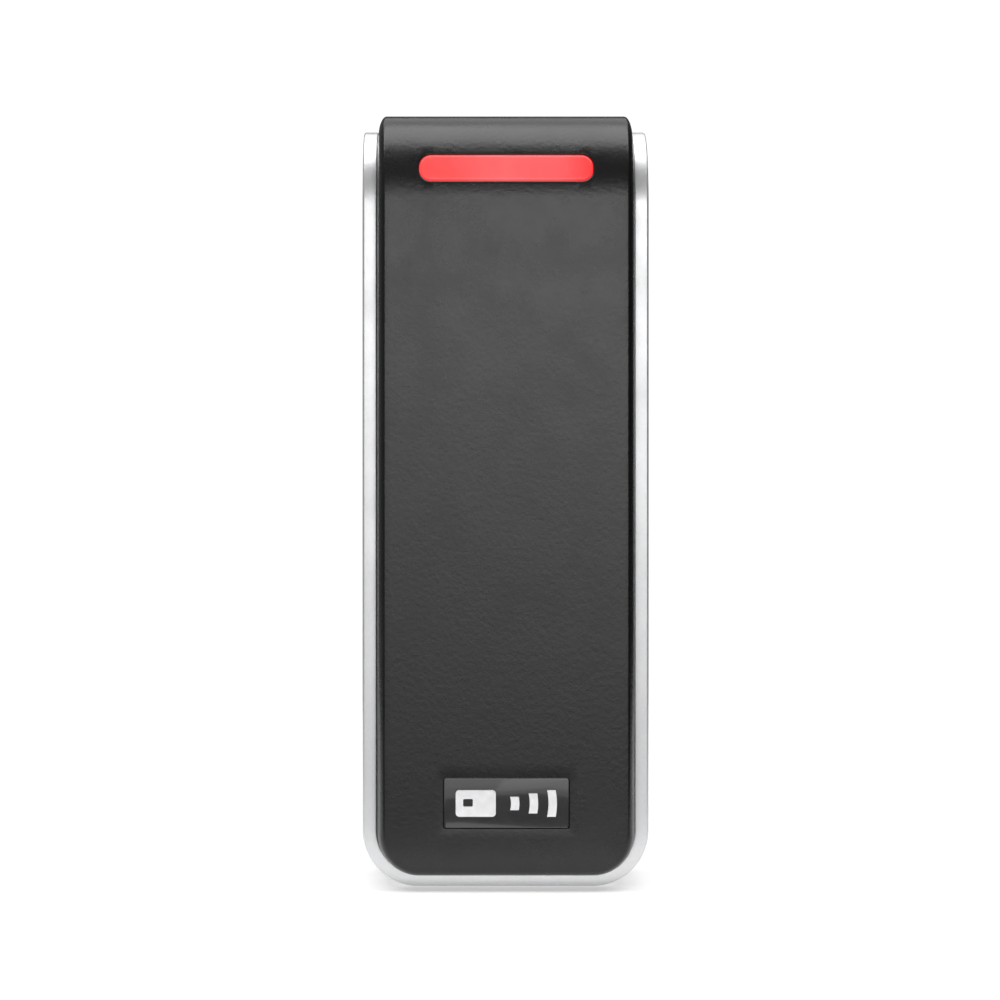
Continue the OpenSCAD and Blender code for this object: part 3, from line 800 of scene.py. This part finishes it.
def make_badge():
    """The glossy plate behind the emblem, with a rounded front edge."""
    rings = [
        [(x, badge_low_corner.y + PLATE_ROUND * (1 - math.cos(a)), z)
         for x, z in badge_outline(-PLATE_ROUND * (1 - math.sin(a)))]
        for a in quarter(LIP_STEPS)
    ]
    rings.append([(x, badge_high_corner.y, z) for x, z in badge_outline(0)])
    bm = bmesh.new()
    made = bridge_all(bm, rings)
    bm.faces.new(made[0])
    bm.faces.new(made[-1])
    finish_piece("badge_gloss_plate", bm, "reader", gloss_badge(), ["badge_plate"])


def make_screw():
    """The retaining screw with a real helical thread and a pin-in-hexagon socket."""
    bm = bmesh.new()
    centre_y = (screw_low_corner.y + screw_high_corner.y) / 2
    low, high = screw_low_corner.z, screw_high_corner.z
    head_r, head_h, head_edge = screw_high_corner.x, 1.62 * MM, 0.25 * MM
    socket_depth, socket_r, pin_r = 1.1 * MM, 1.42 * MM, 0.45 * MM
    shank_r, minor_r, pitch = 1.5 * MM, 1.22 * MM, 0.5 * MM
    chamfer, pin_drop, neck_h, fade_h, tip_h = 0.1 * MM, 0.15 * MM, 0.6 * MM, 0.5 * MM, 0.15 * MM
    segments, rows_per_turn = 48, 8
    angles = [2 * math.pi * i / segments for i in range(segments)]

    def ring(radii, z):
        """Vertices round the screw's axis at a height, each as far from it as its radius."""
        return row(bm, [(r * math.cos(a), centre_y + r * math.sin(a), z) for r, a in zip(radii, angles)])

    def circle(radius, z):
        return ring([radius] * segments, z)

    def hexagon(radius, z):
        flat = radius * math.cos(math.pi / 6)
        return ring([flat / math.cos(a % (math.pi / 3) - math.pi / 6) for a in angles], z)

    def thread(z):
        """One ring of the thread, which fades out towards the screw's tip."""
        fade = min(1.0, max(0.0, (high - z) / fade_h))
        radii = []
        for i in range(segments):
            phase = (z / pitch - i / segments) % 1.0
            crest = 1 - abs(2 * phase - 1)
            radii.append(minor_r + (shank_r - minor_r) * min(1.0, max(0.0, crest * 1.4 - 0.2)) * fade)
        return ring(radii, z)

    pin_top = circle(pin_r, low + pin_drop)
    rings = [pin_top, circle(pin_r, low + socket_depth), hexagon(socket_r, low + socket_depth),
             hexagon(socket_r, low + chamfer), hexagon(socket_r + chamfer, low)]
    for a in reversed(quarter(EDGE_STEPS)):
        rings.append(circle(head_r - head_edge * math.cos(a), low + head_edge * (1 - math.sin(a))))
    seat = low + head_h
    rings += [circle(head_r, seat - chamfer), circle(head_r - chamfer, seat), circle(shank_r, seat)]
    start, end = seat + neck_h, high - tip_h
    rings.append(circle(shank_r, start - chamfer))
    count = round((end - start) / pitch * rows_per_turn)
    rings += [thread(start + (end - start) * k / count) for k in range(count + 1)]
    rings.append(circle(minor_r - tip_h, high))
    for first, second in zip(rings, rings[1:]):
        bridge(bm, first, second)
    bm.faces.new(pin_top)
    bm.faces.new(rings[-1])
    material = brushed_metal("black_oxide_steel", (0.09, 0.09, 0.095), (1, 1, 1), 0.34)
    finish_piece("security_screw", bm, "retaining_screw", material,
                 ["retaining_screw"], sharp=30)


def dress_cad_nodes():
    """Materials for the pieces whose CAD shape is already right."""
    for part in nodes.values():
        mesh = part.data
        mesh.polygons.foreach_set("use_smooth", [True] * len(mesh.polygons))
    give(foil(), "badge_emblem")
    give(textured_plastic("black_housing_plastic", shade(0.012), 0.38), "rear_housing")
    give(textured_plastic("black_plate_plastic", shade(0.014), 0.42, 0.3 * MM), "mounting_plate")
    give(rubber("seal_rubber", 0.03), "cover_seal")
    give(resin(), "potting")
    give(clear_plastic("clear_acrylic", (0.93, 0.96, 0.97)), "light_guide")
    give(clear_plastic("dark_red_acrylic", (0.16, 0.01, 0.02), 0.6), "tamper_window")
    give(textured_plastic("white_shroud_plastic", shade(0.8), 0.5), "light_shroud")
    give(solder_mask(), "main_pcb")
    give(ceramic("led_body", (0.85, 0.83, 0.72), 0.35), "status_leds")
    give(brushed_metal("bare_copper", (0.85, 0.45, 0.25)), "hf_antenna_loops")
    give(wound_copper(), "lf_antenna_coil")
    give(textured_plastic("cream_former_plastic", (0.62, 0.58, 0.47), 0.45), "coil_former")
    give(ceramic("grey_ferrite", (0.05, 0.05, 0.055), 0.6), "ferrite_sheet")
    give(ceramic("chip_epoxy", (0.018, 0.018, 0.02), 0.5), "controller_chips", "sounder", "tamper_sensor")
    give(brushed_metal("tinned_steel", (0.72, 0.73, 0.74), (1, 1, 0.05), 0.28), "rf_shield_can", "crystal")
    give(ceramic("capacitor_ceramic", (0.42, 0.29, 0.16), 0.4), "chip_capacitors")
    give(ceramic("resistor_glaze", (0.02, 0.02, 0.024), 0.3), "chip_resistors")
    give(ceramic("tantalum_epoxy", (0.6, 0.24, 0.03), 0.45), "tantalum_capacitors")
    give(ceramic("inductor_ferrite", (0.07, 0.07, 0.075), 0.6), "power_inductor")
    give(textured_plastic("green_terminal_plastic", (0.015, 0.17, 0.06), 0.35), "terminal_block")
    give(brushed_metal("plated_screw_steel", (0.74, 0.75, 0.76), (0.08, 1, 1), 0.25),
         "terminal_screws", "pcb_screws")
    give(brushed_metal("plated_clamp_steel", (0.7, 0.71, 0.72), (1, 0.08, 1), 0.3), "terminal_clamps")
    give(brushed_metal("turned_brass", (0.82, 0.6, 0.25), (1, 1, 3), 0.25), "threaded_insert")


# ---------------------------------------------------------------- build

make_camera()
make_world()
make_lights()
make_floor()
bpy.context.scene.view_settings.view_transform = "Standard"
make_cover()
make_trim()
make_lens()
make_badge()
make_screw()
dress_cad_nodes()
